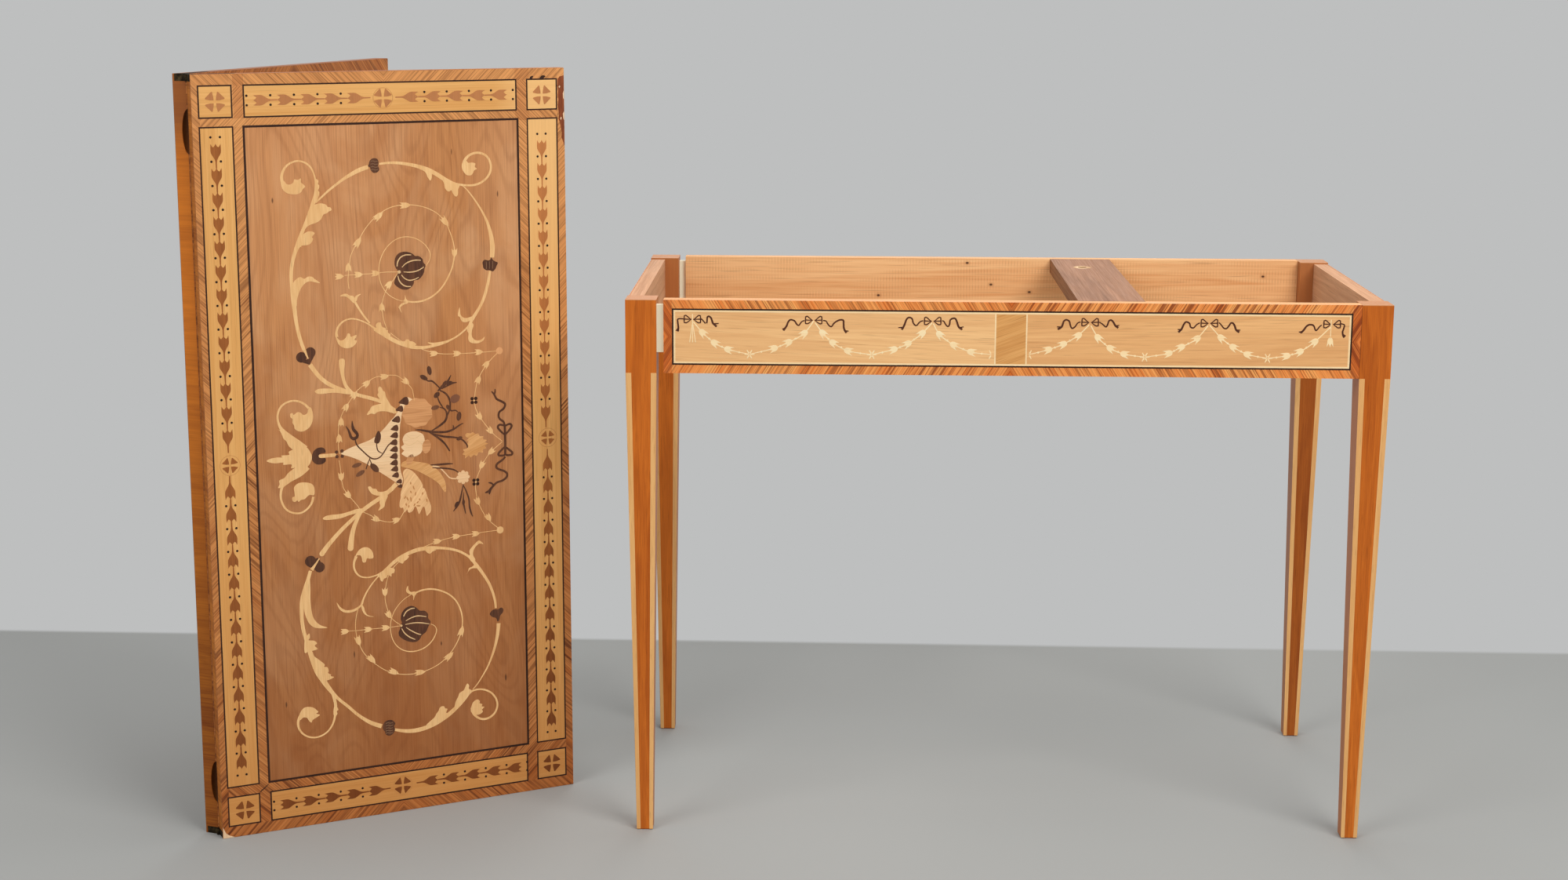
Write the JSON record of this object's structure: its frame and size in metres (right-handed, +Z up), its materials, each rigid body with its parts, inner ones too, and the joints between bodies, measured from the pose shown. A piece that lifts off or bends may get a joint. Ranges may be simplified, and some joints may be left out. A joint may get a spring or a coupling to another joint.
{
  "type": "games table",
  "caption": "Turn-and-fold card table with a marquetry top: the folding top stands on end beside its four-legged frame, whose left end draws out on tenons.",
  "frame": {"origin": "on the floor, under the middle of the bounding box of frame and top together", "axes": "+X along the front rail away from the folding top, +Y from the front rail to the back, +Z up"},
  "size_m": [1.5524, 0.5188, 1.008],
  "materials": {
    "mahogany": "french polished, satin",
    "crossbanding": "polished diagonal crossbanding",
    "satinwood": "polished light veneer",
    "walnut_field": "polished mid-brown veneer",
    "apron_panel": "polished greyish-tan veneer",
    "pine": "bare, finely tool-marked",
    "old_board": "bare, grey-brown with age",
    "brass": "tarnished dark",
    "iron": "dull wrought iron",
    "baize": "glued woollen baize"
  },
  "bodies": {
    "frame": {"front_right_leg": "mahogany", "rear_right_leg": "mahogany", "front_rail": "pine", "rear_rail": "pine", "right_end_rail": "pine", "front_crossbanding": "crossbanding", "front_left_panel": "apron_panel", "front_centre_tablet": "crossbanding", "front_right_panel": "apron_panel", "rear_crossbanding": "crossbanding", "rear_panel": "apron_panel", "right_end_crossbanding": "crossbanding", "right_end_panel": "apron_panel", "pivot_board": "old_board", "pivot_bush": "brass"},
    "left_end": {"front_left_leg": "mahogany", "rear_left_leg": "mahogany", "left_end_rail": "pine", "left_end_crossbanding": "crossbanding", "left_end_panel": "apron_panel"},
    "lower_leaf": {"lower_leaf_panel": "old_board", "lower_leaf_playing_border": "crossbanding", "lower_leaf_baize": "baize", "pivot_plate": "iron", "plate_screw_1": "iron", "plate_screw_2": "iron", "plate_screw_3": "iron", "plate_screw_4": "iron", "pivot_stud": "iron", "pivot_washer": "iron", "pivot_nut": "iron", "lower_hinge_lower_leaf_half": "brass", "lower_hinge_pin": "brass", "lower_hinge_lower_leaf_screw_1": "brass", "lower_hinge_lower_leaf_screw_2": "brass", "upper_hinge_lower_leaf_half": "brass", "upper_hinge_pin": "brass", "upper_hinge_lower_leaf_screw_1": "brass", "upper_hinge_lower_leaf_screw_2": "brass"},
    "upper_leaf": {"upper_leaf_panel": "pine", "show_face_crossbanding": "crossbanding", "marquetry_field": "walnut_field", "hinge_side_husk_band": "satinwood", "free_side_husk_band": "satinwood", "lower_end_husk_band": "satinwood", "upper_end_husk_band": "satinwood", "lower_hinge_corner_square": "satinwood", "lower_free_corner_square": "satinwood", "upper_hinge_corner_square": "satinwood", "upper_free_corner_square": "satinwood", "upper_leaf_playing_border": "crossbanding", "upper_leaf_baize": "baize", "lower_hinge_upper_leaf_half": "brass", "lower_hinge_upper_leaf_screw_1": "brass", "lower_hinge_upper_leaf_screw_2": "brass", "upper_hinge_upper_leaf_half": "brass", "upper_hinge_upper_leaf_screw_1": "brass", "upper_hinge_upper_leaf_screw_2": "brass"}
  },
  "joints": [
    {"name": "left_end_slide", "type": "slide", "parent": "frame", "child": "left_end", "axis": [-1, 0, 0], "range_m": [-0.009, 0.012]},
    {"name": "top_carry", "type": "slide", "parent": "frame", "child": "lower_leaf", "axis": [-1, 0, 0], "range_m": [0, 0.3]},
    {"name": "leaf_hinge", "type": "hinge", "parent": "lower_leaf", "child": "upper_leaf", "pos_m": [-0.75675, -0.24113, 0], "axis": [0, 0, 1], "range_deg": [-137.5, 42.5]}
  ]
}
